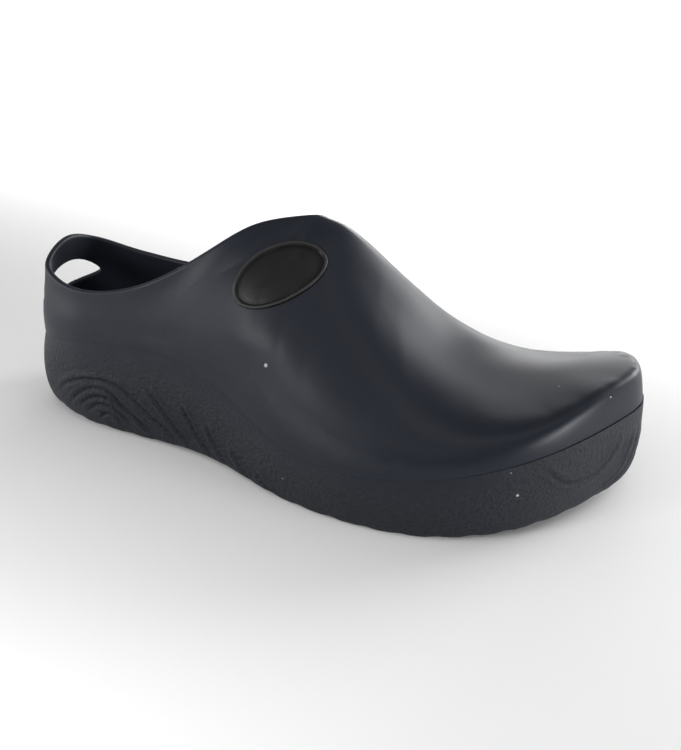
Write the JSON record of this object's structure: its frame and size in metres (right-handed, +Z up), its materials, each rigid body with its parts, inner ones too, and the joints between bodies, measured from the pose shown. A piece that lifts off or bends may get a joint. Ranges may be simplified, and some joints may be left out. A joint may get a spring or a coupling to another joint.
{
  "type": "clog",
  "caption": "Moulded closed-toe work clog for the right foot: hollow upper with an open collar and an oval hole in the heel band, lugged cup sole, insole and bare oval badge.",
  "frame": {"origin": "middle of the shoe's box, on the floor that it stands on", "axes": "+X from heel to toe, -Y to the outer side of the right foot, +Z up"},
  "size_m": [0.2952, 0.1126, 0.1126],
  "materials": {
    "upper_polyurethane": "smooth satin skin of moulded polyurethane, dark navy black",
    "sole_polyurethane": "grained skin of moulded polyurethane, dark navy black",
    "insole_foam": "plain matt footbed foam",
    "badge_rubber": "moulded rubber with a raised bead round a bare face"
  },
  "bodies": {
    "root": {"upper": "upper_polyurethane", "sole": "sole_polyurethane", "insole": "insole_foam", "badge": "badge_rubber"}
  },
  "joints": []
}
